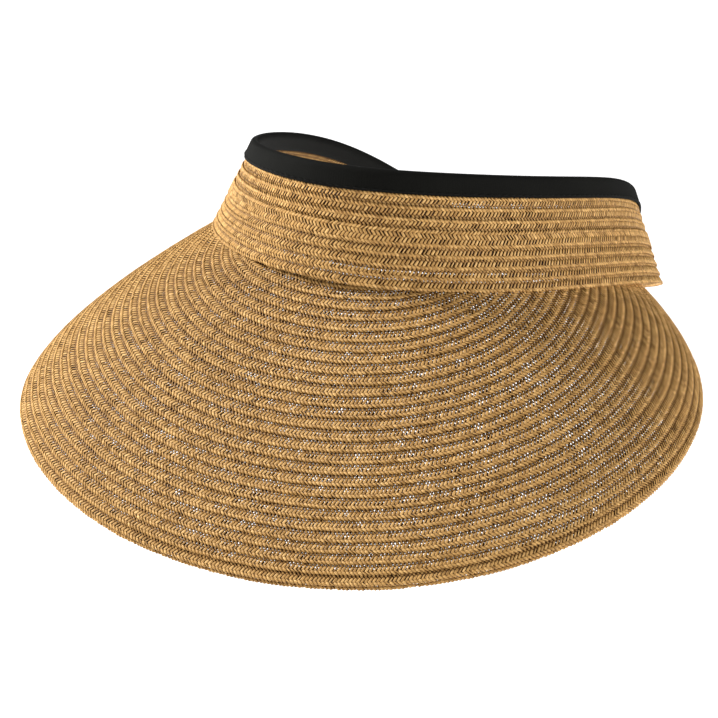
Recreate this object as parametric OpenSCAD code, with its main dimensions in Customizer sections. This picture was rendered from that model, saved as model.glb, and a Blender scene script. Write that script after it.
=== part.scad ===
// Sun visor: a wide brim and an open headband, both sewn from rows of flat paper braid.
//
// Frame: millimetres, +Z up along the wearer's head, -Y to the front, +X to the wearer's left.
// The origin is the centre of the head opening, level with the middle of the brim's side edges.
//
// Two surfaces carry everything:
//   brim surface: a dished oval. Its lines are numbered in rows, 0 at the rim and growing inward.
//   wall surface: the headband, ruled straight from its low edge to its top edge.
// Both take an angle round the head, 0 at the front and positive to +X, and a height off the surface,
// positive on the outside.

/* [Head opening] */
// Half width of the headband's low edge
head_half_width = 78.2; // [77:0.2:80]
// Half length of the headband's low edge, front to back
head_half_length = 100; // [98:0.5:102]
// Half width of the headband's top edge
top_half_width = 61.9; // [61:0.1:63]
// Half length of the headband's top edge
top_half_length = 93.6; // [93:0.1:94.5]

/* [Brim] */
// Half width of the rim oval before it is shaped
rim_half_width = 137.3; // [135:0.1:140]
// Half length of the rim oval before it is shaped
rim_half_length = 98.2; // [97:0.1:100]
// How far the rim oval's centre lies in front of the head's centre
rim_forward = 61.6; // [60:0.1:63]
// Number of lapped braid rows on the brim, without the edge row under the rim
brim_rows = 28; // [28:1:28]
// Droop of the rim at the front against the back
rim_droop = 36.8; // [35:0.1:38]
// How far the outermost rows curl down at the rim
rim_curl = 8.3; // [6:0.1:10]

/* [Braid] */
// Thickness of one braid
braid_t = 0.7; // [0.6:0.05:0.75]
// Drop from one row to the next where they lap
lap_drop = 0.8; // [0.8:0.05:0.9]
// Width of a braid, in rows
braid_rows = 1.6; // [1.5:0.05:1.65]

/* [Binding and sweatband] */
// Height of the black binding's outer leaf
binding_h = 7.6; // [6:0.1:9]
// Thickness of the binding tape
tape_t = 0.55; // [0.4:0.05:0.6]
// Thickness of the sweatband
sweatband_t = 1.0; // [0.8:0.1:1.4]
// Diameter of the wire that stiffens the rim
wire_d = 0.7; // [0.6:0.05:0.75]

/* [Closure] */
// Half of the gap between the headband's two ends, in degrees round the head
back_gap = 7; // [6:0.5:8]
// Angle at which the strap bends when it is peeled open
strap_fold = 164; // [162:0.5:165]
// Angle past the back of the head at which the strap ends
strap_end = 212; // [208:0.5:214]
// Thickness of the strap
strap_t = 0.7; // [0.5:0.05:0.9]

/* [Hidden] */
$fn = 24;
// Brim lines: how much each row shrinks the oval, and how the rows close up over the last few to the rim
row_shrink = 0.0268;
rim_crowding = 0.064;
rim_rows = 4;
// Plan of the brim: its squarer and narrower back, the shift of its inner lines and its swept ends
side_square = 0.115;
side_taper = 0.1575;
line_shift = 9.7;
tail_back = 13;
// Rise from the rim to the crown, which eases off inward
brim_rise = 93.7;
rise_ease = 6.4;
rise_flatten = 14.6;
// Dish of the brim from front to back and side to side, and the wave along its rim
front_lean = 7.6;
inner_dish = 10.6;
middle_dish = 12.7;
rim_wave = 6;
// Height of the headband's low edge at the sides, its tilt up to the front, its saddle and its wave
low_z = 25.4;
low_tilt = 21.9;
low_saddle = 6.5;
low_wave = 0.8;
// The same for its top edge, with a finer ripple
top_z = 58.1;
top_tilt = 32.2;
top_saddle = 10.2;
top_wave = 3.6;
top_ripple = 0.9;
// The soft band leans: how far its top edge is set forward, how far to +X, and how much higher it is there
top_forward = 5.3;
top_lean = 2.6;
top_lift = 2.5;
// Where the brim's first shown row ends, in rows in from the rim, so that the edge row shows outside it
first_line = 0.4;
// Depth of the tunnel for the wire, between the first row and the edge row
tunnel_h = wire_d + 0.15;
// How far inside the headband's low edge the brim's rows are cut off
tuck_in = 2.5;
// Clearance between pieces that lie on each other
skin = 0.05;
// Clearance between the moving strap and what it closes over
peel_gap = 0.3;
// Clearance between the strap and its hook tape, whose flat facets twist a little differently
hook_gap = 0.2;

// Angle at which each side of the headband ends
band_end = 180 - back_gap;
// Height of the outermost straw face off the wall surface: a full stack of lapped rows under it
straw_h = lap_drop * braid_rows + braid_t + skin;
// Levels of the headband's row edges, as fractions of its height.
// Four rows lap downward, then one full row lies on top, then four rows lap upward under the binding.
down_levels = [0, 0.095, 0.190, 0.284];
full_levels = [0.378, 0.535];
up_levels = [0.626, 0.727, 0.820, 0.920];
band_rows = len(down_levels) + 1 + len(up_levels);

// Stations along each kind of piece
brim_steps = 40;
band_steps = 54;

// Sewn details: thread size, and the pitch and length of the binding's stitches in degrees
stitch_t = 0.25;
stitch_pitch_a = 3.6;
stitch_l_a = 1.9;

// Half of the angle that the sweatband covers, its top level, and how far it stays above the low edge
sweatband_reach = 118;
sweatband_top = 0.72;
sweatband_lift = 7;

// Levels that the tape round each cut end covers
end_levels = [0.02, 0.6];

// Closure: thickness of the loop and hook tapes, and the levels that the strap and the tapes cover
loop_t = 0.5;
hook_t = 0.6;
strap_levels = [0.04, 0.62];
tape_levels = [0.07, 0.59];
// Heights off the wall surface of the stack: straw, loop tape, hook tape, strap
loop_h = straw_h + skin;
hook_h = loop_h + loop_t + peel_gap;
strap_h = hook_h + hook_t + hook_gap;
// Facets along the strap, and the angle of one; its tapes share them so that they lie flat together
strap_facets = 16;
closure_facet = (strap_end - strap_fold) / strap_facets;
// Length of the strap's sewn end in degrees, and where its two stitch lines lie
sewn_l_a = 16;
sewn_lines = [14.5, 2];

function two_digits(i) = i < 10 ? str("0", i) : str(i);
function brim_name(i) = str("brim_row_", two_digits(i));
function band_name(i) = str("headband_row_", i);

// ---- Vectors ----
function unit(v) = v / norm(v);
function mix(a, b, t) = a + (b - a) * t;
// count + 1 even steps from a to b
function steps(a, b, count) = [for (k = [0:count]) mix(a, b, k / count)];

// ---- Brim surface ----
// Size of a brim line against the rim's, by row number; the rows close up a little towards the rim
function line_size(n) = 1 - row_shrink * n + rim_crowding * (1 - exp(-n / rim_rows));
function brim_surface(n, a) =
    let (
        s = line_size(n),
        t = 1 - s,
        x = s * rim_half_width * sin(a) * (1 + side_square * cos(2 * a) + side_taper * cos(a)),
        y = -rim_forward - line_shift * t - s * rim_half_length * cos(a) + tail_back * s * (1 - cos(2 * a)),
        rise = brim_rise * t - rise_ease * t * t - rise_flatten * t * t * t,
        lean = -front_lean * t * cos(a),
        dish = (inner_dish * t - middle_dish * s) * t * cos(2 * a),
        droop = -s * rim_droop * cos(a) - rim_wave * s * s * cos(3 * a),
        curl = -rim_curl * exp(-n / rim_rows)
    )
    [x, y, rise + lean + dish + droop + curl];
function brim_point(n, a, h) =
    let (
        along = brim_surface(n, a + 1) - brim_surface(n, a - 1),
        inward = brim_surface(n + 0.1, a) - brim_surface(n - 0.1, a)
    )
    brim_surface(n, a) + h * unit(cross(along, inward));

// The brim's lines are cut off where they pass under the headband
function in_opening(p) =
    pow(p.x / (head_half_width - tuck_in), 2) + pow(p.y / (head_half_length - tuck_in), 2) < 1;
// Row number at which the brim reaches the opening, by halving
function opening_line(a, lo = -1, hi = 32, turn = 0) =
    turn == 14
        ? (lo + hi) / 2
        : let (mid = (lo + hi) / 2)
            in_opening(brim_surface(mid, a))
                ? opening_line(a, lo, mid, turn + 1)
                : opening_line(a, mid, hi, turn + 1);
// Angle round the head at which line n runs under the headband, by halving
function line_reach(n, lo = 0, hi = 150, turn = 0) =
    turn == 14
        ? lo
        : let (mid = (lo + hi) / 2)
            opening_line(mid) > n + 0.3
                ? line_reach(n, mid, hi, turn + 1)
                : line_reach(n, lo, mid, turn + 1);

// ---- Wall surface ----
function wall_low(a) = [
    head_half_width * sin(a),
    -head_half_length * cos(a),
    low_z + low_tilt * cos(a) - low_saddle * cos(2 * a) + low_wave * cos(3 * a)
];
function wall_top(a) = [
    top_lean + top_half_width * sin(a),
    -top_forward - top_half_length * cos(a),
    top_z + top_tilt * cos(a) - top_saddle * cos(2 * a) + top_wave * cos(3 * a) - top_ripple * cos(4 * a)
        + top_lift * sin(a)
];
// Point at level f of the wall's height, then d along the wall and h off it
function wall_point(f, a, h, d = 0) =
    let (
        up = unit(wall_top(a) - wall_low(a)),
        along = mix(wall_low(a + 1), wall_top(a + 1), f) - mix(wall_low(a - 1), wall_top(a - 1), f)
    )
    mix(wall_low(a), wall_top(a), f) + d * up + h * unit(cross(along, up));

// ---- Solids ----
// A closed solid through rings. Each ring is [outer points, inner points], both in the same order,
// so that it can bend like a folded tape and still close flat at its two ends.
module loft(rings) {
    m = len(rings[0][0]);
    points = [for (ring = rings) each concat(ring[0], ring[1])];
    loop = concat([for (i = [0:m - 1]) i], [for (i = [m - 1:-1:0]) m + i]);
    last = (len(rings) - 1) * 2 * m;
    sides = [
        for (k = [0:len(rings) - 2], i = [0:2 * m - 1])
            let (
                a = k * 2 * m + loop[i],
                b = k * 2 * m + loop[(i + 1) % (2 * m)]
            )
            each [[a, b, b + 2 * m], [a, b + 2 * m, a + 2 * m]]
    ];
    start = [for (i = [0:m - 2]) each [[i, m + i, m + i + 1], [i, m + i + 1, i + 1]]];
    end = [
        for (i = [0:m - 2])
            each [
                [last + i, last + i + 1, last + m + i + 1],
                [last + i, last + m + i + 1, last + m + i]
            ]
    ];
    polyhedron(points, concat(sides, start, end), convexity = 10);
}

// A plain strip on the wall: levels f0 to f1 and offsets d0 to d1, between heights h0 and h1
module wall_strip(a0, a1, f0, f1, h0, h1, count, d0 = 0, d1 = 0) {
    loft([
        for (a = steps(a0, a1, count)) [
            [wall_point(f0, a, h1, d0), wall_point(f1, a, h1, d1)],
            [wall_point(f0, a, h0, d0), wall_point(f1, a, h0, d1)]
        ]
    ]);
}

// ---- Brim ----
// Height of a lapped row's top face at line n, for the row that ends at line n0
function lap_height(n, n0) = -lap_drop * (n - n0);

module brim_strip(n0, n1, first, sink = 0) {
    reach = line_reach(n0);
    loft([
        for (a = steps(-reach, reach, brim_steps))
            let (
                inner = min(n1, opening_line(a)),
                top0 = lap_height(n0, first) - sink,
                top1 = lap_height(inner, first) - sink
            ) [
                [brim_point(n0, a, top0), brim_point(inner, a, top1)],
                [brim_point(n0, a, top0 - braid_t), brim_point(inner, a, top1 - braid_t)]
            ]
    ]);
}

module brim_row(i) {
    n0 = first_line + i - 1;
    color("burlywood") brim_strip(n0, n0 + braid_rows, n0);
}

// The edge row lies under row 1 with the wire between them, and shows outside it
module brim_edge_row() {
    color("tan") brim_strip(0, first_line + braid_rows, first_line - 1, tunnel_h);
}

module brim_wire() {
    n = first_line + 0.35;
    reach = line_reach(first_line);
    stations = steps(-reach, reach, brim_steps);
    h = lap_height(n, first_line) - braid_t - tunnel_h / 2;
    sides = 3;
    color("gray") loft([
        for (k = [1:brim_steps - 1])
            let (
                a = stations[k],
                centre = brim_point(n, a, h),
                up = unit(brim_point(n, a, 1) - brim_point(n, a, 0)),
                in = unit(brim_point(n + 0.1, a, 0) - brim_point(n, a, 0))
            ) [
                [for (w = [0:sides]) centre + wire_d / 2 * (sin(60 * w - 90) * in + cos(60 * w - 90) * up)],
                [for (w = [0:sides]) centre + wire_d / 2 * (sin(60 * w - 90) * in - cos(60 * w - 90) * up)]
            ]
    ]);
}

// ---- Headband ----
// A lapped row between its shown edge and its tucked edge, which is one drop per row lower
module headband_strip(shown, tucked, drop) {
    low = min(shown, tucked);
    high = max(shown, tucked);
    h_low = low == shown ? straw_h : straw_h - drop;
    h_high = high == shown ? straw_h : straw_h - drop;
    loft([
        for (a = steps(-band_end, band_end, band_steps)) [
            [wall_point(low, a, h_low), wall_point(high, a, h_high)],
            [wall_point(low, a, h_low - braid_t), wall_point(high, a, h_high - braid_t)]
        ]
    ]);
}

module headband_row(i) {
    full = len(down_levels);
    down_next = concat(down_levels, [full_levels[0]]);
    up_before = concat([full_levels[1]], up_levels);
    color("burlywood")
        if (i < full)
            headband_strip(
                down_levels[i],
                mix(down_levels[i], down_next[i + 1], braid_rows),
                lap_drop * braid_rows
            );
        else if (i == full)
            headband_strip(full_levels[0], full_levels[1], 0);
        else
            let (k = i - full - 1)
                headband_strip(
                    up_levels[k],
                    mix(up_levels[k], up_before[k], braid_rows),
                    lap_drop * braid_rows
                );
}

// One tape folded over the top edge: outer leaf, fold and inner leaf
module top_binding() {
    out = straw_h + skin;
    color("black") loft([
        for (a = steps(-band_end, band_end, band_steps)) [
            [
                wall_point(1, a, out + tape_t, -binding_h),
                wall_point(1, a, out + tape_t, -0.8),
                wall_point(1, a, straw_h / 2, tape_t),
                wall_point(1, a, -skin - tape_t, -0.8),
                wall_point(1, a, -skin - tape_t, 0.6 - binding_h)
            ],
            [
                wall_point(1, a, out, -binding_h),
                wall_point(1, a, out, -0.9),
                wall_point(1, a, straw_h / 2, 0),
                wall_point(1, a, -skin, -0.9),
                wall_point(1, a, -skin, 0.6 - binding_h)
            ]
        ]
    ]);
}

module binding_stitches() {
    h = straw_h + skin + tape_t + skin;
    low = 1.1 - binding_h;
    first = -band_end + 4;
    color("dimgray")
        for (a = [first:stitch_pitch_a:band_end - 5])
            wall_strip(a, a + stitch_l_a, 1, 1, h, h + stitch_t, 1, low, low + stitch_t);
}

// Cloth tape inside the headband, over the seam with the brim
module sweatband() {
    color("dimgray")
        wall_strip(
            -sweatband_reach, sweatband_reach,
            0, sweatband_top,
            -skin - sweatband_t, -skin,
            36, sweatband_lift, 0
        );
}

// Tape folded round a cut end of the headband; side is 1 at the wearer's left and -1 at the right
module end_binding(side) {
    leaf = 3.2;
    out = straw_h + skin;
    edge = side * (band_end + 0.15);
    back = side * (band_end - leaf);
    fold = side * (band_end + 0.6);
    function shell(f, a_edge, h_out, h_in) = [
        wall_point(f, back, h_out),
        wall_point(f, a_edge, h_out),
        wall_point(f, a_edge, h_in),
        wall_point(f, back, h_in)
    ];
    function ring(f) = [
        shell(f, fold, out + tape_t, -skin - tape_t),
        shell(f, edge, out, -skin)
    ];
    levels = side > 0 ? [end_levels[1], end_levels[0]] : end_levels;
    color("black") loft([for (f = levels) ring(f)]);
}

module left_end_binding() {
    end_binding(1);
}

module right_end_binding() {
    end_binding(-1);
}

// ---- Closure ----
// The strap's end is folded under itself and sewn flat on the left end of the headband
module strap_sewn_end() {
    color("black")
        wall_strip(
            strap_fold - sewn_l_a, strap_fold - 0.2,
            strap_levels[0], strap_levels[1],
            straw_h + skin, strap_h + strap_t, 5
        );
}

module closure_strap() {
    color("black")
        wall_strip(
            strap_fold, strap_end,
            strap_levels[0], strap_levels[1],
            strap_h, strap_h + strap_t, strap_facets
        );
}

module hook_tape() {
    color("dimgray")
        wall_strip(
            strap_end - 7 * closure_facet, strap_end - closure_facet,
            tape_levels[0], tape_levels[1],
            hook_h, hook_h + hook_t, 6
        );
}

module loop_tape() {
    color("dimgray")
        wall_strip(
            strap_end - 7 * closure_facet, strap_end + 3 * closure_facet,
            tape_levels[0], tape_levels[1],
            loop_h, loop_h + loop_t, 10
        );
}

// Two upright lines of stitches through the strap's sewn end
module strap_stitches() {
    h = strap_h + strap_t + skin;
    color("dimgray")
        for (line = sewn_lines, f = [strap_levels[0] + 0.04:0.09:strap_levels[1] - 0.06])
            wall_strip(strap_fold - line, strap_fold - line + 0.3, f, f + 0.055, h, h + stitch_t, 1);
}

for (i = [1:brim_rows])
    brim_row(i);
brim_edge_row();
brim_wire();
for (i = [1:band_rows])
    headband_row(i - 1);
top_binding();
binding_stitches();
sweatband();
left_end_binding();
right_end_binding();
strap_sewn_end();
strap_stitches();
closure_strap();
hook_tape();
loop_tape();
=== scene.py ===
"""A straw sun visor: the looks of its woven braid, tapes and closure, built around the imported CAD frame."""

import math

import bpy
import numpy as np
from mathutils import Matrix, Vector


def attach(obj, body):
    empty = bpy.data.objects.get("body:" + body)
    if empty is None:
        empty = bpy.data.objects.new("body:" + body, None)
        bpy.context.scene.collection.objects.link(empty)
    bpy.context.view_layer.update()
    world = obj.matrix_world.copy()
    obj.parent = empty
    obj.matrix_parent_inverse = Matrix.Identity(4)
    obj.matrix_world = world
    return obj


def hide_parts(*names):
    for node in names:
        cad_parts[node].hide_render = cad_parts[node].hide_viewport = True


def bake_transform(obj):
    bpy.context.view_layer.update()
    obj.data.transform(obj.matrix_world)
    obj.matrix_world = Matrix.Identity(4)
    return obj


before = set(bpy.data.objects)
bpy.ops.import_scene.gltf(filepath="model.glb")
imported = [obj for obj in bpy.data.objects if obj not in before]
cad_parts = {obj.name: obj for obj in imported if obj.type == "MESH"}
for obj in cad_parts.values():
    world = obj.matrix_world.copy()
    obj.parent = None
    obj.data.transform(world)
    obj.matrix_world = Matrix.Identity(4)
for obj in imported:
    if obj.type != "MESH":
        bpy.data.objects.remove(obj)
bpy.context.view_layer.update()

MM = 0.001

# ---- Driving dimensions, in millimetres and degrees, as in the part's source ----
HEAD_HALF_WIDTH = 78.2
HEAD_HALF_LENGTH = 100
TOP_HALF_WIDTH = 61.9
TOP_HALF_LENGTH = 93.6
RIM_HALF_WIDTH = 137.3
RIM_HALF_LENGTH = 98.2
RIM_FORWARD = 61.6
BRIM_ROWS = 28
RIM_DROOP = 36.8
RIM_CURL = 8.3
BRAID_T = 0.7
LAP_DROP = 0.8
BRAID_ROWS = 1.6
BINDING_H = 7.6
TAPE_T = 0.55
SWEATBAND_T = 1.0
BAND_END = 173
STRAP_FOLD = 164
STRAP_END = 212
STRAP_T = 0.7

FIRST_LINE = 0.4
WIRE_D = 0.7
TUNNEL_H = WIRE_D + 0.15
TUCK_IN = 2.5
SKIN = 0.05
PEEL_GAP = 0.3
STRAW_H = LAP_DROP * BRAID_ROWS + BRAID_T + SKIN
DOWN_LEVELS = [0, 0.095, 0.190, 0.284]
FULL_LEVELS = [0.378, 0.535]
UP_LEVELS = [0.626, 0.727, 0.820, 0.920]
LOOP_T = 0.5
HOOK_T = 0.6
STRAP_LEVELS = [0.04, 0.62]
TAPE_LEVELS = [0.07, 0.59]
END_LEVELS = [0.02, 0.59]
LOOP_H = STRAW_H + SKIN
HOOK_H = LOOP_H + LOOP_T + PEEL_GAP
HOOK_GAP = 0.2
STRAP_H = HOOK_H + HOOK_T + HOOK_GAP
SWEATBAND_REACH = 118
SWEATBAND_TOP = 0.72
SWEATBAND_LIFT = 7


# ---- Vectors ----
def unit(v):
    return v / np.linalg.norm(v, axis=-1, keepdims=True)


def mix(a, b, t):
    return a + (b - a) * t


def sin(a):
    return np.sin(np.radians(a))


def cos(a):
    return np.cos(np.radians(a))


# ---- The two surfaces, as in the part's source ----
def line_size(n):
    return 1 - 0.0268 * n + 0.064 * (1 - np.exp(-n / 4))


def brim_surface(n, a):
    s = line_size(n)
    t = 1 - s
    x = s * RIM_HALF_WIDTH * sin(a) * (1 + 0.115 * cos(2 * a) + 0.1575 * cos(a))
    y = -RIM_FORWARD - 9.7 * t - s * RIM_HALF_LENGTH * cos(a) + 13 * s * (1 - cos(2 * a))
    rise = 93.7 * t - 6.4 * t**2 - 14.6 * t**3
    lean = -7.6 * t * cos(a)
    dish = (10.6 * t - 12.7 * s) * t * cos(2 * a)
    droop = -s * RIM_DROOP * cos(a) - 6 * s**2 * cos(3 * a)
    curl = -RIM_CURL * np.exp(-n / 4)
    return np.stack([x, y, rise + lean + dish + droop + curl], axis=-1)


def brim_normal(n, a):
    along = brim_surface(n, a + 0.5) - brim_surface(n, a - 0.5)
    inward = brim_surface(n + 0.1, a) - brim_surface(n - 0.1, a)
    return unit(np.cross(along, inward))


def in_opening(p):
    x = p[..., 0] / (HEAD_HALF_WIDTH - TUCK_IN)
    y = p[..., 1] / (HEAD_HALF_LENGTH - TUCK_IN)
    return x**2 + y**2 < 1


def opening_line(a):
    """Row number at which the brim reaches the head opening, by halving."""
    a = np.asarray(a, float)
    low, high = np.full(a.shape, -1.0), np.full(a.shape, 32.0)
    for _ in range(16):
        middle = (low + high) / 2
        inside = in_opening(brim_surface(middle, a))
        high = np.where(inside, middle, high)
        low = np.where(inside, low, middle)
    return (low + high) / 2


def line_reach(n):
    """Angle round the head at which line n runs under the headband, by halving."""
    low, high = 0.0, 150.0
    for _ in range(16):
        middle = (low + high) / 2
        if opening_line(middle) > n + 0.3:
            low = middle
        else:
            high = middle
    return low


def wall_low(a):
    z = 25.4 + 21.9 * cos(a) - 6.5 * cos(2 * a) + 0.8 * cos(3 * a)
    return np.stack([HEAD_HALF_WIDTH * sin(a), -HEAD_HALF_LENGTH * cos(a), z], axis=-1)


def wall_top(a):
    z = 58.1 + 32.2 * cos(a) - 10.2 * cos(2 * a) + 3.6 * cos(3 * a) - 0.9 * cos(4 * a) + 2.5 * sin(a)
    return np.stack([2.6 + TOP_HALF_WIDTH * sin(a), -5.3 - TOP_HALF_LENGTH * cos(a), z], axis=-1)


def wall_surface(f, a):
    f = np.asarray(f, float)[..., None]
    return mix(wall_low(a), wall_top(a), f)


def wall_up(a):
    return unit(wall_top(a) - wall_low(a))


def wall_height(a):
    return np.linalg.norm(wall_top(a) - wall_low(a), axis=-1)


def wall_normal(f, a):
    along = wall_surface(f, a + 0.5) - wall_surface(f, a - 0.5)
    return unit(np.cross(along, wall_up(a)))


def wall_point(f, a, h, d=0.0):
    """Point at level f of the wall, d along it and h off it."""
    f, a, h, d = np.broadcast_arrays(*[np.asarray(value, float) for value in (f, a, h, d)])
    return wall_surface(f, a) + d[..., None] * wall_up(a) + h[..., None] * wall_normal(f, a)


# ---- Mesh making ----
def make_mesh(name, points, faces, smooth=True, attributes=None, uv=None):
    """A mesh object from points in millimetres and a list of face arrays, each (count, corners)."""
    mesh = bpy.data.meshes.new(name)
    mesh.vertices.add(len(points))
    mesh.vertices.foreach_set("co", (np.asarray(points) * MM).astype(np.float32).ravel())
    corners = np.concatenate([np.asarray(f).ravel() for f in faces]).astype(np.int32)
    sizes = np.concatenate([np.full(len(f), np.asarray(f).shape[1]) for f in faces]).astype(np.int32)
    mesh.loops.add(len(corners))
    mesh.loops.foreach_set("vertex_index", corners)
    mesh.polygons.add(len(sizes))
    mesh.polygons.foreach_set("loop_start", np.concatenate([[0], np.cumsum(sizes)[:-1]]).astype(np.int32))
    mesh.polygons.foreach_set("loop_total", sizes)
    mesh.update(calc_edges=True)
    mesh.polygons.foreach_set("use_smooth", np.full(len(sizes), smooth))
    for key, values in (attributes or {}).items():
        kind = "FLOAT_VECTOR" if np.ndim(values) == 2 else "FLOAT"
        layer = mesh.attributes.new(key, kind, "POINT")
        field = "vector" if kind == "FLOAT_VECTOR" else "value"
        layer.data.foreach_set(field, np.asarray(values, np.float32).ravel())
    if uv is not None:
        layer = mesh.uv_layers.new(name="OFBake")
        layer.data.foreach_set("uv", uv.astype(np.float32).ravel())
    obj = bpy.data.objects.new(name, mesh)
    bpy.context.scene.collection.objects.link(obj)
    return obj


# ---- Noise along a line, with a fixed seed ----
def wander(rng, length, step, positions):
    """Smooth random values of about -1 to 1 that change over about step millimetres."""
    knots = rng.uniform(-1, 1, int(length / step) + 4)
    x = np.clip(positions / step, 0, len(knots) - 2.001)
    k = x.astype(int)
    t = x - k
    t = t * t * (3 - 2 * t)
    return mix(knots[k], knots[k + 1], t)


# ---- The braid: seven paper strands plaited flat, over one, under two, over two, under one ----
BRAID_W = 6.4
STRANDS = 7
PITCH = 1.4
COLUMNS = 4
COLUMN_RUN = PITCH * STRANDS / (2 * COLUMNS)
# Where the strands' centre lines are at the edges of the columns, across the braid
COLUMN_EDGES = np.array([0.40, 1.30, 3.20, 5.10, 6.00])
STRAND_W = 0.98
STRAND_T = 0.36
LIFT = 0.18
# Where, across a row, the edge of the row over it lies
COVER_AT = BRAID_W / BRAID_ROWS
# Share of crossings where a strand is creased narrow, which leaves a small hole, and how narrow it gets
PINCHED = 0.16
PINCH_W = 0.56
RING_STOPS = np.array([0.0, 0.2, 0.5, 0.8])
# A strand's section, a flat lens: across and up, in half widths and half thicknesses
SECTION = np.array([[-1, 0], [-0.62, 0.86], [0.62, 0.86], [1, 0], [0.62, -0.86], [-0.62, -0.86]])


def plait(length, rng, handed):
    """For each strand: along, across, height and width at its rings. handed is 1 or -1."""
    strands = []
    period = 2 * COLUMNS * COLUMN_RUN
    for j in range(STRANDS):
        start = -period + j * PITCH
        crossings = int((length - start) / COLUMN_RUN) + 2
        whole = np.repeat(np.arange(crossings), len(RING_STOPS))
        q = whole + np.tile(RING_STOPS, crossings)
        u = start + q * COLUMN_RUN
        phase = q % (2 * COLUMNS)
        inward = phase < COLUMNS
        column = np.where(inward, phase, 2 * COLUMNS - phase)
        v = np.interp(column, np.arange(COLUMNS + 1), COLUMN_EDGES)
        over = np.clip(1.5 * np.sin(np.pi * column), -1, 1)
        h = LIFT * np.where(inward, -over, over)
        per_crossing = rng.uniform(-1, 1, (3, crossings))
        u = u + 0.05 * per_crossing[0][whole]
        h = h + 0.02 * per_crossing[1][whole]
        pinched = rng.random(crossings) < PINCHED
        width = STRAND_W * np.where(pinched, PINCH_W, 1 + 0.12 * per_crossing[2])[whole]
        # rings past the row's two ends are left out
        keep = (u > 0.2) & (u < length - 0.2)
        # paper colour drifts along a strand and differs a little at each crossing
        tone = 0.5 + 0.4 * wander(rng, length, 30.0, np.maximum(u, 0))
        tone = tone + 0.45 * rng.uniform(-1, 1, crossings)[whole]
        strands.append([a[keep] for a in (u, v, h, width, tone)])
    if handed < 0:
        strands = [[length - u[::-1], v[::-1], h[::-1], w[::-1], t[::-1]] for u, v, h, w, t in strands]
    return strands


def woven(name, length, place, rng, handed=1, covered=1.0):
    """A braid as one mesh. place(u, v, h) gives points, and their surface normals, for braid coordinates.

    covered is how strongly the painted shadow of the next row, which lies over this one from COVER_AT on,
    darkens it.
    """
    points, tone, strand_at, outer = [], [], [], []
    quads, caps = [], []
    k = len(SECTION)
    first = 0
    for j, (u, v, h, width, colour) in enumerate(plait(length, rng, handed)):
        centre, normal = place(u, v, h)
        tangent = unit(np.gradient(centre, axis=0))
        side = unit(np.cross(normal, tangent))
        up = np.cross(tangent, side)
        across = SECTION[:, 0][None, :, None] * side[:, None, :] * (width / 2)[:, None, None]
        high = SECTION[:, 1][None, :, None] * up[:, None, :] * (STRAND_T / 2)
        ring = centre[:, None, :] + across + high
        m = len(ring)
        points.append(ring.reshape(-1, 3))
        tone.append(np.repeat(colour, k))
        travelled = np.concatenate([[0], np.cumsum(np.linalg.norm(np.diff(centre, axis=0), axis=1))])
        coordinates = np.empty((m, k, 3))
        coordinates[..., 0] = travelled[:, None]
        coordinates[..., 1] = SECTION[:, 0][None, :] * STRAND_W / 2
        coordinates[..., 2] = 7.0 * j + SECTION[:, 1][None, :] * 0.2
        strand_at.append(coordinates.reshape(-1, 3))
        # painted shade in the 'outer' attribute: how near the braid's two faces each point is, so the
        # crossings inside it are painted dark as if in shade, with full colour kept at the selvedges; where
        # the next row lies over this one, a painted shadow of that row darkens it further
        open_side = np.abs(0.55 * (h / LIFT)[:, None] + 0.65 * SECTION[:, 1][None, :])
        selvedge = np.clip(1.2 - np.minimum(v, BRAID_W - v) / 0.9, 0, 0.8)
        # painted shadow of the next row: a gentle fall across the row towards COVER_AT and a steeper one just
        # short of it, where that row's edge lies
        near_cover = np.clip((v - 0.8) / (COVER_AT - 0.8), 0, 1)
        at_cover = np.clip((v - COVER_AT + 0.9) / 0.7, 0, 1)
        shaded = 1 - covered * (0.16 * near_cover + 0.32 * at_cover)
        outer.append((np.maximum(open_side, selvedge[:, None]) * shaded[:, None]).reshape(-1))
        base = first + np.arange(m - 1)[:, None] * k + np.arange(k)[None, :]
        turned = first + np.arange(m - 1)[:, None] * k + (np.arange(k)[None, :] + 1) % k
        quads.append(np.stack([base, turned, turned + k, base + k], axis=-1).reshape(-1, 4))
        caps.append(first + np.arange(k)[::-1])
        caps.append(first + (m - 1) * k + np.arange(k))
        first += m * k
    quads = np.concatenate(quads)
    caps = np.array(caps)
    obj = make_mesh(
        name,
        np.concatenate(points),
        [quads, caps],
        attributes={
            "tone": np.concatenate(tone),
            "outer": np.concatenate(outer),
            "strand": np.concatenate(strand_at),
        },
        uv=strip_layout(len(quads) // k, k, len(caps)),
    )
    return obj


def strip_layout(rings, sides, caps):
    """Bake coordinates that lay all the strands out in rows of strips, ring after ring."""
    rows = max(1, int(math.sqrt(rings / 4.2)))
    per_row = -(-rings // rows)
    ring = np.arange(rings)
    left = (ring % per_row) / per_row
    low = (ring // per_row) / (rows + 1)
    side = (np.arange(sides) + 0.3) / (sides + 0.6)
    next_side = (np.arange(sides) + 1.3) / (sides + 0.6)
    u0 = np.broadcast_to(left[:, None], (rings, sides))
    u1 = u0 + 1 / per_row
    v0 = low[:, None] + side[None, :] / (rows + 1)
    v1 = low[:, None] + next_side[None, :] / (rows + 1)
    corners = [(u0, v0), (u0, v1), (u1, v1), (u1, v0)]
    quads = np.stack([np.stack(pair, -1) for pair in corners], 2)
    corner = 0.5 / (rows + 1) * np.stack([cos(60 * np.arange(sides)), sin(60 * np.arange(sides))], -1) * 0.8
    middles = np.stack([(np.arange(caps) + 0.5) / caps, np.full(caps, (rows + 0.5) / (rows + 1))], -1)
    return np.concatenate([quads.reshape(-1, 2), (middles[:, None, :] + corner[None, :, :]).reshape(-1, 2)])


def line_table(points_at, a0, a1, count=600):
    """Angles and the length along a line up to each of them."""
    a = np.linspace(a0, a1, count)
    p = points_at(a)
    steps = np.linalg.norm(np.diff(p, axis=0), axis=1)
    return a, np.concatenate([[0], np.cumsum(steps)])


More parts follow.
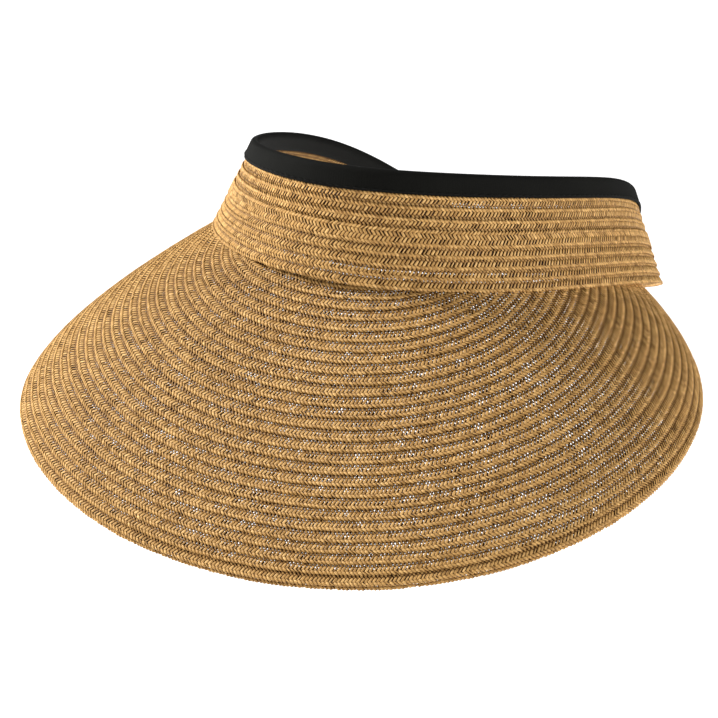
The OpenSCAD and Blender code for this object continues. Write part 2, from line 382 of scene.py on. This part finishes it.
# ---- Materials ----
def material(name):
    m = bpy.data.materials.new(name)
    m.use_nodes = True
    nodes = m.node_tree.nodes
    return m, nodes, m.node_tree.links, nodes["Principled BSDF"]


def ramp(nodes, stops):
    node = nodes.new("ShaderNodeValToRGB")
    while len(node.color_ramp.elements) < len(stops):
        node.color_ramp.elements.new(0.5)
    for element, (position, colour) in zip(node.color_ramp.elements, stops):
        element.position = position
        element.color = (*colour, 1)
    return node


def noise(nodes, links, vector, scale, detail=2.0, roughness=0.5):
    node = nodes.new("ShaderNodeTexNoise")
    node.inputs["Scale"].default_value = scale
    node.inputs["Detail"].default_value = detail
    node.inputs["Roughness"].default_value = roughness
    if vector is not None:
        links.new(vector, node.inputs["Vector"])
    return node


def maths(nodes, links, operation, a, b):
    node = nodes.new("ShaderNodeMath")
    node.operation = operation
    for socket, value in zip(node.inputs, (a, b)):
        if isinstance(value, (int, float)):
            socket.default_value = value
        else:
            links.new(value, socket)
    return node.outputs[0]


def mixed(nodes, links, factor, a, b, blend="MIX"):
    node = nodes.new("ShaderNodeMix")
    node.data_type = "RGBA"
    node.blend_type = blend
    for socket, value in ((node.inputs[0], factor), (node.inputs[6], a), (node.inputs[7], b)):
        if isinstance(value, (int, float)):
            socket.default_value = value
        elif isinstance(value, tuple):
            socket.default_value = (*value, 1)
        else:
            links.new(value, socket)
    return node.outputs[2]


def straw_material():
    m, nodes, links, shader = material("paper_straw")
    strand = nodes.new("ShaderNodeAttribute")
    strand.attribute_name = "strand"
    tone = nodes.new("ShaderNodeAttribute")
    tone.attribute_name = "tone"
    # fibres and creases that run along the twisted paper
    stretch = nodes.new("ShaderNodeMapping")
    stretch.inputs["Scale"].default_value = (0.35, 9.0, 1.0)
    links.new(strand.outputs["Vector"], stretch.inputs["Vector"])
    fibres = noise(nodes, links, stretch.outputs[0], 1.0, 3.0, 0.6)
    patches = noise(nodes, links, strand.outputs["Vector"], 0.35, 2.0)
    place = nodes.new("ShaderNodeTexCoord")
    broad = noise(nodes, links, place.outputs["Object"], 28.0, 3.0)
    base = ramp(nodes, [(0.0, (0.30, 0.155, 0.042)), (0.5, (0.60, 0.345, 0.112)), (1.0, (0.88, 0.56, 0.22))])
    share = maths(nodes, links, "MULTIPLY", tone.outputs["Fac"], 0.45)
    share = maths(nodes, links, "ADD", share, maths(nodes, links, "MULTIPLY", patches.outputs[0], 0.35))
    share = maths(nodes, links, "ADD", share, maths(nodes, links, "MULTIPLY", broad.outputs[0], 0.25))
    links.new(share, base.inputs[0])
    streak = ramp(nodes, [(0.36, (0.45, 0.36, 0.26)), (0.52, (1.0, 1.0, 1.0)), (0.75, (1.22, 1.20, 1.14))])
    links.new(fibres.outputs[0], streak.inputs[0])
    colour = mixed(nodes, links, 1.0, base.outputs[0], streak.outputs[0], "MULTIPLY")
    outer = nodes.new("ShaderNodeAttribute")
    outer.attribute_name = "outer"
    # painted shade: dark inside the plait and under the painted shadow of the next row, full colour with a
    # slight painted highlight on its two faces
    shade_stops = [
        (0.1, (0.07, 0.04, 0.018)),
        (0.5, (0.27, 0.20, 0.12)),
        (0.66, (0.8, 0.77, 0.70)),
        (0.9, (1.1, 1.1, 1.1)),
    ]
    shade = ramp(nodes, shade_stops)
    links.new(outer.outputs["Fac"], shade.inputs[0])
    colour = mixed(nodes, links, 1.0, colour, shade.outputs[0], "MULTIPLY")
    links.new(colour, shader.inputs["Base Color"])
    rough = ramp(nodes, [(0.3, (0.62, 0.62, 0.62)), (0.7, (0.42, 0.42, 0.42))])
    links.new(fibres.outputs[0], rough.inputs[0])
    links.new(rough.outputs[0], shader.inputs["Roughness"])
    bump = nodes.new("ShaderNodeBump")
    bump.inputs["Strength"].default_value = 0.35
    bump.inputs["Distance"].default_value = 0.00008
    links.new(fibres.outputs[0], bump.inputs["Height"])
    links.new(bump.outputs[0], shader.inputs["Normal"])
    shader.inputs["Specular IOR Level"].default_value = 0.25
    return m


# ---- Woven rows ----
def brim_place(n0, length, table, rng, sink, first):
    angles, lengths = table
    def place(u, v, h):
        a = np.interp(u + 0.20 * wander(rng_copy(rng), length, 9.0, u), lengths, angles)
        n = n0 + v / BRAID_W * BRAID_ROWS
        n = np.minimum(n + edge_wander(rng, length, u), opening_line(a))
        top = -LAP_DROP * (n - first) - sink
        normal = brim_normal(n, a)
        return brim_surface(n, a) + (top - BRAID_T / 2 + h)[:, None] * normal, normal
    return place


def rng_copy(seed):
    return np.random.default_rng(seed)


def edge_wander(seed, length, u):
    slow = 0.035 * wander(rng_copy(seed + 1000), length, 21.0, u)
    quick = 0.02 * wander(rng_copy(seed + 2000), length, 5.0, u)
    return slow + quick


def brim_row(name, n0, first, sink, seed):
    reach = line_reach(n0)
    table = line_table(lambda a: brim_surface(n0 + 0.6, a), -reach, reach)
    length = table[1][-1]
    obj = woven(name, length, brim_place(n0, length, table, seed, sink, first), rng_copy(seed + 50))
    return obj


def headband_row(name, shown, tucked, drop, seed):
    """A row from its shown edge to its tucked edge, which lies drop lower."""
    table = line_table(lambda a: wall_surface(np.full_like(a, (shown + tucked) / 2), a), -BAND_END, BAND_END)
    angles, lengths = table
    length = lengths[-1]
    def place(u, v, h):
        a = np.interp(u + 0.20 * wander(rng_copy(seed), length, 9.0, u), lengths, angles)
        share = v / BRAID_W + 0.6 * edge_wander(seed, length, u)
        f = mix(shown, tucked, share)
        top = STRAW_H - drop * np.clip(share, 0, 1)
        return wall_point(f, a, top - BRAID_T / 2 + h), wall_normal(f, a)
    # rows that tuck under the next one get 0.75 of its painted shadow; the full row 5, which no row lies
    # over, gets none
    covered = 0.75 if drop else 0.0
    return woven(name, length, place, rng_copy(seed + 50), 1 if tucked > shown else -1, covered)


def finish_piece(obj, body, slot, look, *nodes):
    obj.data.materials.append(look)
    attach(obj, body)
    if nodes:
        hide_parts(*nodes)


straw = straw_material()
for i in range(1, BRIM_ROWS + 1):
    n0 = FIRST_LINE + i - 1
    node = f"brim_row_{i:02d}"
    finish_piece(brim_row(f"woven_{node}", n0, n0, 0.0, 100 + i), "visor", "straw_braid", straw, node)
finish_piece(
    brim_row("woven_brim_edge_row", 0.0, FIRST_LINE - 1, TUNNEL_H, 99),
    "visor", "edge_braid", straw, "brim_edge_row"
)
for i, level in enumerate(DOWN_LEVELS):
    following = (DOWN_LEVELS + FULL_LEVELS)[i + 1]
    node = f"headband_row_{i + 1}"
    tucked = mix(level, following, BRAID_ROWS)
    row = headband_row(f"woven_{node}", level, tucked, LAP_DROP * BRAID_ROWS, 200 + i)
    finish_piece(row, "visor", "straw_braid", straw, node)
row = headband_row("woven_headband_row_5", FULL_LEVELS[0], FULL_LEVELS[1], 0.0, 205)
finish_piece(row, "visor", "straw_braid", straw, "headband_row_5")
for i, level in enumerate(UP_LEVELS):
    before = ([FULL_LEVELS[1]] + UP_LEVELS)[i]
    node = f"headband_row_{i + 6}"
    row = headband_row(f"woven_{node}", level, mix(level, before, BRAID_ROWS), LAP_DROP * BRAID_ROWS, 206 + i)
    finish_piece(row, "visor", "straw_braid", straw, node)


# ---- Tubes and shells ----
def tube_rings(centre, normal, half_width, half_height):
    """The section's points round each point of a centre line."""
    tangent = unit(np.gradient(centre, axis=0))
    side = unit(np.cross(normal, tangent))
    up = np.cross(tangent, side)
    half_width = np.broadcast_to(half_width, len(centre))
    half_height = np.broadcast_to(half_height, len(centre))
    across = SECTION[:, 0][None, :, None] * side[:, None, :] * half_width[:, None, None]
    high = SECTION[:, 1][None, :, None] * up[:, None, :] * half_height[:, None, None]
    return centre[:, None, :] + across + high


def tubes(name, lines):
    """One mesh of closed tubes. Each line is (centre, normal, half_width, half_height)."""
    k = len(SECTION)
    points, quads, caps = [], [], []
    first = 0
    for line in lines:
        ring = tube_rings(*line)
        m = len(ring)
        points.append(ring.reshape(-1, 3))
        base = first + np.arange(m - 1)[:, None] * k + np.arange(k)[None, :]
        turned = first + np.arange(m - 1)[:, None] * k + (np.arange(k)[None, :] + 1) % k
        quads.append(np.stack([base, turned, turned + k, base + k], axis=-1).reshape(-1, 4))
        caps.append(first + np.arange(k)[::-1])
        caps.append(first + (m - 1) * k + np.arange(k))
        first += m * k
    return make_mesh(name, np.concatenate(points), [np.concatenate(quads), np.array(caps)])


def shell(name, outer, inner):
    """A closed sheet between two grids of points, each (along, across, 3)."""
    m, k = outer.shape[:2]
    ring = np.concatenate([outer, inner[:, ::-1]], axis=1)
    n = 2 * k
    base = np.arange(m - 1)[:, None] * n + np.arange(n)[None, :]
    turned = np.arange(m - 1)[:, None] * n + (np.arange(n)[None, :] + 1) % n
    sides = np.stack([base, turned, turned + n, base + n], axis=-1).reshape(-1, 4)
    j = np.arange(k - 1)
    start = np.stack([j, n - 1 - j, n - 2 - j, j + 1], axis=-1)
    end = (m - 1) * n + np.stack([j, j + 1, n - 2 - j, n - 1 - j], axis=-1)
    return make_mesh(name, ring.reshape(-1, 3), [sides, start, end])


def thin_edges(share, edge=0.12):
    """Thickness across a tape, from 0.25 at its two edges to 1 inside them."""
    from_edge = np.minimum(share, 1 - share) / edge
    return 0.25 + 0.75 * np.sqrt(np.clip(1 - (1 - np.clip(from_edge, 0, 1)) ** 2, 0, 1))


# ---- Ribbon ----
RIB_PITCH = 0.85
RIB_H = 0.05
SAMPLES_PER_RIB = 3


def wall_stations(f, a0, a1, step):
    """Angles at even lengths along level f, and those lengths."""
    angles, lengths = line_table(lambda a: wall_surface(np.full_like(a, f), a), a0, a1)
    count = int(lengths[-1] / step) + 1
    at = np.linspace(0, lengths[-1], count)
    return np.interp(at, lengths, angles), at


def ribs(at):
    return RIB_H * np.sin(2 * np.pi * at / RIB_PITCH)


def top_binding():
    out = STRAW_H + SKIN + TAPE_T / 2
    inside = -SKIN - TAPE_T / 2
    middle, half = (out + inside) / 2, (out - inside) / 2
    turn = np.linspace(90, -90, 9)
    fold_top = 0.3
    leaf = np.array([0, 0.12, 0.3, 0.5, 0.7, 0.86])
    outer_d = mix(-BINDING_H, fold_top - half, leaf)
    inner_d = mix(0.6 - BINDING_H, fold_top - half, leaf)[::-1]
    d = np.concatenate([outer_d, fold_top - half + half * cos(turn), inner_d])
    h = np.concatenate([np.full(6, out), middle + half * sin(turn), np.full(6, inside)])
    along = unit(np.stack([np.gradient(d), np.gradient(h)], axis=-1))
    normal_d, normal_h = -along[:, 1], along[:, 0]
    angles, at = wall_stations(1.0, -BAND_END, BAND_END, RIB_PITCH / SAMPLES_PER_RIB)
    share = np.linspace(0, 1, len(d))
    half_t = TAPE_T / 2 * thin_edges(share, 0.06)
    ripple = ribs(at)[:, None]
    slack = 0.10 * wander(rng_copy(41), at[-1], 14.0, at)[:, None] * (h > middle)[None, :]
    hem = 0.20 * wander(rng_copy(42), at[-1], 25.0, at)[:, None] * np.clip(1 - share / 0.3, 0, 1)[None, :]
    def side(sign):
        reach = sign * half_t[None, :] + ripple * 0.8
        height = h + slack * 0.5 - normal_h * reach
        return wall_point(1.0, angles[:, None], height, d + hem - normal_d * reach)
    obj = shell("ribbon_binding", side(1), side(-1))
    width = np.hypot(np.diff(d), np.diff(h)).sum()
    return obj, width * MM, at[-1] * MM


def wall_tape(name, a0, a1, levels, low, high, offsets=(0.0, 0.0), ribbed=True, wave=0.0, corner=0.0):
    """A flat tape on the wall between heights low and high, which may be functions of the angle."""
    f_middle = (levels[0] + levels[1]) / 2
    angles, at = wall_stations(f_middle, a0, a1, RIB_PITCH / SAMPLES_PER_RIB)
    across = np.array([0, 0.02, 0.06, 0.13, 0.25, 0.4, 0.6, 0.75, 0.87, 0.94, 0.98, 1.0])
    low_h = low(angles) if callable(low) else np.full_like(angles, low)
    high_h = high(angles) if callable(high) else np.full_like(angles, high)
    from_end = np.clip((at[-1] - at) / max(corner, 0.01), 0, 1)
    inset = corner * (1 - np.sqrt(np.clip(1 - (1 - from_end) ** 2, 0, 1))) if corner else np.zeros_like(at)
    height = (levels[1] - levels[0]) * wall_height(angles)
    share = mix((inset / height)[:, None], 1 - (inset / height)[:, None], across[None, :])
    f = mix(levels[0], levels[1], share)
    d = mix(offsets[0], offsets[1], share)
    thick = (high_h - low_h)[:, None] * thin_edges(across, 0.05)[None, :]
    centre = ((high_h + low_h) / 2)[:, None] + wave * wander(rng_copy(len(name)), at[-1], 17.0, at)[:, None]
    ripple = (ribs(at) if ribbed else 0 * at)[:, None]
    outer = wall_point(f, angles[:, None], centre + thick / 2 + ripple, d)
    inner = wall_point(f, angles[:, None], centre - thick / 2 + ripple, d)
    obj = shell(name, outer, inner)
    width = np.median(height) + offsets[1] - offsets[0]
    return obj, width * MM, at[-1] * MM


def end_binding(side):
    """Ribbon folded round a cut end of the headband."""
    out = STRAW_H + SKIN + TAPE_T / 2
    inside = -SKIN - TAPE_T / 2
    middle, half = (out + inside) / 2, (out - inside) / 2
    leaf = 3.2
    turn = np.linspace(90, -90, 9)
    degree = 1.62
    reach = np.array([1, 0.9, 0.7, 0.5, 0.3, 0.1])
    a = np.concatenate([-leaf * reach, half / degree * 0.55 * cos(turn), -leaf * reach[::-1]])
    h = np.concatenate([np.full(6, out), middle + half * sin(turn), np.full(6, inside)])
    along = unit(np.stack([np.gradient(a * degree), np.gradient(h)], axis=-1))
    half_t = TAPE_T / 2 * thin_edges(np.linspace(0, 1, len(a)), 0.06)
    height = wall_height(np.array(BAND_END * 1.0)) * (END_LEVELS[1] - END_LEVELS[0])
    count = int(height / (RIB_PITCH / SAMPLES_PER_RIB)) + 1
    levels = np.linspace(END_LEVELS[0], END_LEVELS[1], count)
    ripple = ribs(np.linspace(0, height, count))[:, None] * 0.8
    def face(sign):
        reach_out = sign * half_t[None, :] + ripple
        around = a[None, :] + along[:, 1][None, :] * reach_out / degree
        out_at = h[None, :] - along[:, 0][None, :] * reach_out
        return wall_point(levels[:, None], side * (BAND_END + around), out_at)
    outer, inner = face(-1), face(1)
    if side < 0:
        outer, inner = outer[::-1], inner[::-1]
    obj = shell(f"ribbon_end_{'left' if side > 0 else 'right'}", outer, inner)
    width = np.hypot(np.diff(a * degree), np.diff(h)).sum()
    return obj, width * MM, height * MM


# ---- Threads ----
def stitch_lines(points_at, normals_at, length, pitch, share, thread, seed):
    """Stitches along a line, each a short thread that dips into the cloth at its two ends."""
    rng = rng_copy(seed)
    dip = np.array([-1.2, 0.2, 0.9, 1.0, 0.9, 0.2, -1.2]) * thread / 2
    lines = []
    for start in np.arange(pitch / 2, length - pitch, pitch):
        jitter = rng.uniform(-0.12, 0.12, 2)
        at = start + jitter[0] + np.linspace(0, pitch * share, len(dip))
        normal = normals_at(at)
        lines.append((points_at(at) + dip[:, None] * normal, normal, thread / 2, thread / 2))
    return lines


def wall_stitches(f, h, d, a0, a1, pitch, thread, seed, share=0.82):
    angles, lengths = line_table(lambda a: wall_point(f, a, h, d), a0, a1)
    side = 1 if h > 0 else -1
    def angle(at):
        return np.interp(at, lengths, angles)
    def points_at(at):
        return wall_point(f, angle(at), h, d)
    def normals_at(at):
        return side * wall_normal(np.full_like(at, f), angle(at))
    return stitch_lines(points_at, normals_at, lengths[-1], pitch, share, thread, seed)


def upright_stitches(a, f0, f1, h, pitch, thread, seed, share=0.82):
    height = float(wall_height(np.array(float(a)))) * (f1 - f0)
    def points_at(at):
        return wall_point(mix(f0, f1, at / height), np.full_like(at, a), h)
    def normals_at(at):
        return wall_normal(mix(f0, f1, at / height), np.full_like(at, a))
    return stitch_lines(points_at, normals_at, height, pitch, share, thread, seed)


# ---- Materials of the tapes ----
def tape_material(name, dark, light, thread, sheen, roughness):
    """Woven tape: fine crossing threads and slightly uneven colour."""
    m, nodes, links, shader = material(name)
    place = nodes.new("ShaderNodeTexCoord")
    threads = noise(nodes, links, place.outputs["Object"], 1 / (thread * MM), 2.0, 0.6)
    broad = noise(nodes, links, place.outputs["Object"], 45.0, 3.0)
    share = maths(nodes, links, "MULTIPLY", threads.outputs[0], 0.6)
    share = maths(nodes, links, "ADD", share, maths(nodes, links, "MULTIPLY", broad.outputs[0], 0.4))
    tint = ramp(nodes, [(0.3, dark), (0.7, light)])
    links.new(share, tint.inputs[0])
    links.new(tint.outputs[0], shader.inputs["Base Color"])
    bump = nodes.new("ShaderNodeBump")
    bump.inputs["Strength"].default_value = 0.5
    bump.inputs["Distance"].default_value = 0.0001
    links.new(threads.outputs[0], bump.inputs["Height"])
    links.new(bump.outputs[0], shader.inputs["Normal"])
    shader.inputs["Roughness"].default_value = roughness
    shader.inputs["Sheen Weight"].default_value = sheen
    shader.inputs["Sheen Roughness"].default_value = 0.5
    shader.inputs["Specular IOR Level"].default_value = 0.05
    return m


def wire_material():
    m, nodes, links, shader = material("wire_steel")
    place = nodes.new("ShaderNodeTexCoord")
    marks = noise(nodes, links, place.outputs["Object"], 900.0, 3.0)
    tint = ramp(nodes, [(0.35, (0.30, 0.29, 0.27)), (0.65, (0.48, 0.47, 0.45))])
    links.new(marks.outputs[0], tint.inputs[0])
    links.new(tint.outputs[0], shader.inputs["Base Color"])
    rough = ramp(nodes, [(0.3, (0.25, 0.25, 0.25)), (0.7, (0.5, 0.5, 0.5))])
    links.new(marks.outputs[0], rough.inputs[0])
    links.new(rough.outputs[0], shader.inputs["Roughness"])
    shader.inputs["Metallic"].default_value = 1.0
    return m


ribbon = tape_material("black_grosgrain", (0.0035, 0.0035, 0.003), (0.009, 0.009, 0.0075), 0.22, 0.02, 0.75)
thread_look = tape_material("black_thread", (0.004, 0.004, 0.004), (0.012, 0.012, 0.011), 0.12, 0.02, 0.7)
cloth = tape_material("sweatband_cotton", (0.012, 0.012, 0.012), (0.035, 0.035, 0.035), 0.35, 0.15, 0.9)
hook_look = tape_material("hook_nylon", (0.008, 0.008, 0.009), (0.03, 0.03, 0.032), 0.3, 0.0, 0.4)
loop_look = tape_material("loop_nylon", (0.010, 0.010, 0.011), (0.04, 0.04, 0.042), 0.25, 0.6, 0.9)

binding, width, length = top_binding()
finish_piece(binding, "visor", "black_ribbon", ribbon, "top_binding")

binding_h = STRAW_H + SKIN + TAPE_T
THREAD = 0.3
stitches = wall_stitches(1.0, binding_h, 1.0 - BINDING_H, -BAND_END + 3, BAND_END - 3, 3.2, THREAD, 61)
threads = tubes("binding_thread", stitches)
finish_piece(threads, "visor", "black_thread", thread_look, "binding_stitches")

band, width, length = wall_tape(
    "cotton_sweatband", -SWEATBAND_REACH, SWEATBAND_REACH, (0.0, SWEATBAND_TOP),
    -SKIN - SWEATBAND_T, -SKIN, offsets=(SWEATBAND_LIFT, 0.0), ribbed=False, wave=0.12,
)
finish_piece(band, "visor", "sweatband_cloth", cloth, "sweatband")

for side, node in ((1, "left_end_binding"), (-1, "right_end_binding")):
    tape, width, length = end_binding(side)
    finish_piece(tape, "visor", "black_ribbon", ribbon, node)
    max(width, 0.01)

SEWN_START = STRAP_FOLD - 16
FACET = 3


def strap_low(a):
    """The strap's inner face, which leaves the band over a short angle before the fold."""
    lift = 1.5
    return mix(STRAW_H + SKIN, STRAP_H, np.clip((a - STRAP_FOLD + lift) / lift, 0, 1))


def strap_high(a):
    """The strap's outer face: it swells from the flat sewn end to the stack over the tapes."""
    rise = np.clip((a - SEWN_START) / 3.0, 0, 1)
    return mix(STRAP_H + STRAP_T - 0.7, STRAP_H + STRAP_T, rise * rise * (3 - 2 * rise))


strap, width, length = wall_tape(
    "closure_ribbon", SEWN_START, STRAP_END, STRAP_LEVELS, strap_low, strap_high, wave=0.0, corner=3.0
)
strap.data.materials.append(ribbon)
fold_h = STRAP_H + STRAP_T
fold_from = wall_point(0.33, STRAP_FOLD - 1.2, fold_h) * MM
fold_to = wall_point(0.33, STRAP_FOLD + 1.2, fold_h) * MM
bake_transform(strap)
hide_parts("strap_sewn_end", "closure_strap")

strap_top = STRAP_H + STRAP_T
lines = []
for a in (STRAP_FOLD - 14.5, STRAP_FOLD - 2):
    low, high = STRAP_LEVELS[0] + 0.05, STRAP_LEVELS[1] - 0.03
    lines += upright_stitches(a, low, high, strap_top - 0.02, 2.4, THREAD, int(a))
threads = tubes("strap_thread", lines)
finish_piece(threads, "visor", "black_thread", thread_look, "strap_stitches")

hook, width, length = wall_tape(
    "hook_pad", STRAP_END - 7 * FACET, STRAP_END - FACET, TAPE_LEVELS,
    HOOK_H + 0.35, HOOK_H + HOOK_T, ribbed=False,
)
finish_piece(hook, "strap", "hook_tape", hook_look, "hook_tape")

loop, width, length = wall_tape(
    "loop_pad", STRAP_END - 7 * FACET, STRAP_END + 3 * FACET, TAPE_LEVELS, LOOP_H, LOOP_H + 0.3, ribbed=False
)
finish_piece(loop, "visor", "loop_tape", loop_look, "loop_tape")


def hooks():
    """Rows of small nylon hooks that stand down from the hook tape."""
    rng = rng_copy(71)
    lines = []
    rise = np.array([0, 0.5, 0.9, 1.0, 0.8])
    lean = np.array([0, 0.0, 0.08, 0.25, 0.36])
    taper = np.array([0.11, 0.09, 0.08, 0.07, 0.05])
    for a in np.arange(STRAP_END - 7 * FACET + 0.7, STRAP_END - FACET - 0.6, 0.75):
        for f in np.arange(TAPE_LEVELS[0] + 0.03, TAPE_LEVELS[1] - 0.02, 0.055):
            turn = 1 if rng.random() < 0.5 else -1
            around = np.full(5, a) + rng.uniform(-0.1, 0.1) + turn * lean / 1.6
            here = wall_point(f, around, HOOK_H + 0.36 - 0.36 * rise)
            along = np.broadcast_to(unit(wall_up(np.array(float(a)))), here.shape)
            lines.append((here, along, taper, taper))
    return tubes("hook_field", lines)


def loops():
    """A nap of fine nylon loops on the loop tape."""
    rng = rng_copy(72)
    lines = []
    arch = np.array([0, 0.7, 1.0, 0.7, 0])
    spread = np.linspace(-1, 1, 5)
    for _ in range(900):
        a = rng.uniform(STRAP_END - 7 * FACET + 0.4, STRAP_END + 3 * FACET - 0.4)
        f = rng.uniform(TAPE_LEVELS[0] + 0.02, TAPE_LEVELS[1] - 0.02)
        turn = rng.uniform(0, 180)
        wide = rng.uniform(0.25, 0.45)
        tall = rng.uniform(0.12, 0.2)
        a_line = a + spread * wide * cos(turn) / 1.6
        f_line = f + spread * wide * sin(turn) / 20
        here = wall_point(f_line, a_line, LOOP_H + 0.28 + tall * arch)
        lines.append((here, wall_normal(f_line, a_line), 0.035, 0.035))
    return tubes("loop_nap", lines)


finish_piece(hooks(), "strap", "hook_tape", hook_look)
finish_piece(loops(), "visor", "loop_tape", loop_look)


def brim_wire():
    """The wire in its tunnel between the first row and the edge row."""
    n = FIRST_LINE + 0.35
    reach = line_reach(FIRST_LINE) - 3
    a = np.linspace(-reach, reach, 400)
    normal = brim_normal(n, a)
    top = -LAP_DROP * (n - FIRST_LINE) - BRAID_T - TUNNEL_H / 2
    return tubes("edge_wire", [(brim_surface(n, a) + top * normal, normal, WIRE_D / 2, WIRE_D / 2)])


finish_piece(brim_wire(), "visor", "wire", wire_material(), "brim_wire")


# ---- Camera ----
AZIMUTH, ELEVATION, ROLL = 25.43, 16.67, 4.07
DISTANCE, SLIDE_RIGHT, SLIDE_UP = 1500, -28.14, -11.14
FOCAL = 201.7


def make_camera():
    data = bpy.data.cameras.new("camera")
    data.sensor_width = 36
    data.lens = FOCAL
    data.clip_start = 0.05
    data.clip_end = 50
    camera = bpy.data.objects.new("camera", data)
    bpy.context.scene.collection.objects.link(camera)
    right = np.array([cos(AZIMUTH), sin(AZIMUTH), 0])
    back = np.array([sin(AZIMUTH) * cos(ELEVATION), -cos(AZIMUTH) * cos(ELEVATION), sin(ELEVATION)])
    up = np.cross(back, right)
    across = cos(ROLL) * right + sin(ROLL) * up
    upward = -sin(ROLL) * right + cos(ROLL) * up
    place = (DISTANCE * back + SLIDE_RIGHT * across + SLIDE_UP * upward) * MM
    axes = Matrix([across, upward, back]).transposed().to_4x4()
    camera.matrix_world = Matrix.Translation(Vector(place)) @ axes
    bpy.context.scene.camera = camera


# ---- Floor and light ----
def make_floor():
    m, nodes, links, shader = material("pale_floor")
    shader.inputs["Base Color"].default_value = (0.93, 0.93, 0.93, 1)
    shader.inputs["Roughness"].default_value = 0.9
    shader.inputs["Emission Color"].default_value = (1, 1, 1, 1)
    shader.inputs["Emission Strength"].default_value = 0.62
    half = 8.0
    z = -0.30
    mesh = bpy.data.meshes.new("floor")
    corners = [(-half, -half, z), (half, -half, z), (half, half, z), (-half, half, z)]
    mesh.from_pydata(corners, [], [(0, 1, 2, 3)])
    floor = bpy.data.objects.new("floor", mesh)
    floor.data.materials.append(m)
    bpy.context.scene.collection.objects.link(floor)


def area_light(name, place, target, size, watts):
    data = bpy.data.lights.new(name, "AREA")
    data.shape = "DISK"
    data.size = size
    data.energy = watts
    lamp = bpy.data.objects.new(name, data)
    bpy.context.scene.collection.objects.link(lamp)
    lamp.location = place
    lamp.rotation_euler = (Vector(target) - Vector(place)).to_track_quat("-Z", "Y").to_euler()


def make_light():
    world = bpy.data.worlds.new("studio")
    bpy.context.scene.world = world
    world.use_nodes = True
    background = world.node_tree.nodes["Background"]
    background.inputs["Color"].default_value = (1, 1, 1, 1)
    background.inputs["Strength"].default_value = 0.17
    area_light("key", (-1.9, -0.75, 1.3), (0, -0.06, 0), 0.4, 80)
    area_light("fill", (2.0, 0.1, 0.6), (0, -0.06, 0), 0.9, 27)
    bpy.context.scene.view_settings.view_transform = "Standard"


make_camera()
make_floor()
make_light()
